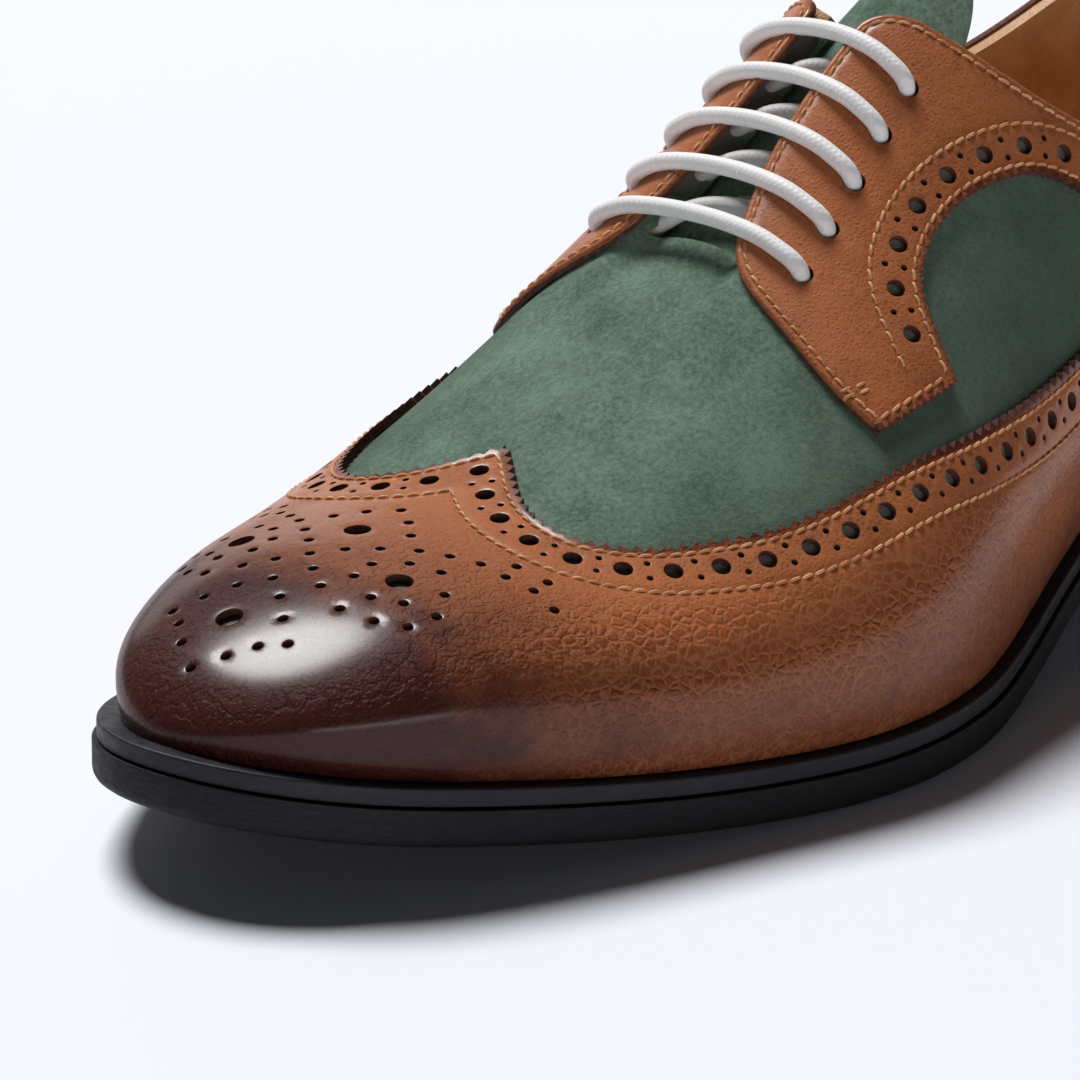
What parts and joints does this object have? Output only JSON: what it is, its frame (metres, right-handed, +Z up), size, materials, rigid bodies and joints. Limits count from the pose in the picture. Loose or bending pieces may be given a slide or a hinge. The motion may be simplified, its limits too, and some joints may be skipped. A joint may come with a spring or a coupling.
{
  "type": "brogue shoe",
  "caption": "Left two-colour longwing derby shoe, laced and empty, with a hollow last-shaped upper, a welted rubber sole and a low block heel.",
  "frame": {"origin": "on the floor under the middle of the whole shoe's bounding box", "axes": "+X to the toe, +Y to the wearer's left, which is the outer side of this left shoe, +Z up"},
  "size_m": [0.2988, 0.1042, 0.1078],
  "materials": {
    "black_rubber": "matt moulded rubber",
    "black_welt": "smooth black welt and heel stack, faintly scratched",
    "tan_lining": "smooth unglazed tan leather",
    "green_suede": "green suede with a short mottled nap",
    "brown_leather": "pebbled brown leather, burnished dark at the toe, polished",
    "white_cord": "round waxed cotton cord"
  },
  "bodies": {
    "root": {"outsole": "black_rubber", "heel_top_piece": "black_rubber", "heel_block": "black_welt", "welt": "black_welt", "insole": "tan_lining", "upper": "green_suede", "wing": "brown_leather", "facing_left": "brown_leather", "facing_right": "brown_leather", "back_strip": "brown_leather", "tongue": "green_suede", "lace": "white_cord"}
  },
  "joints": []
}
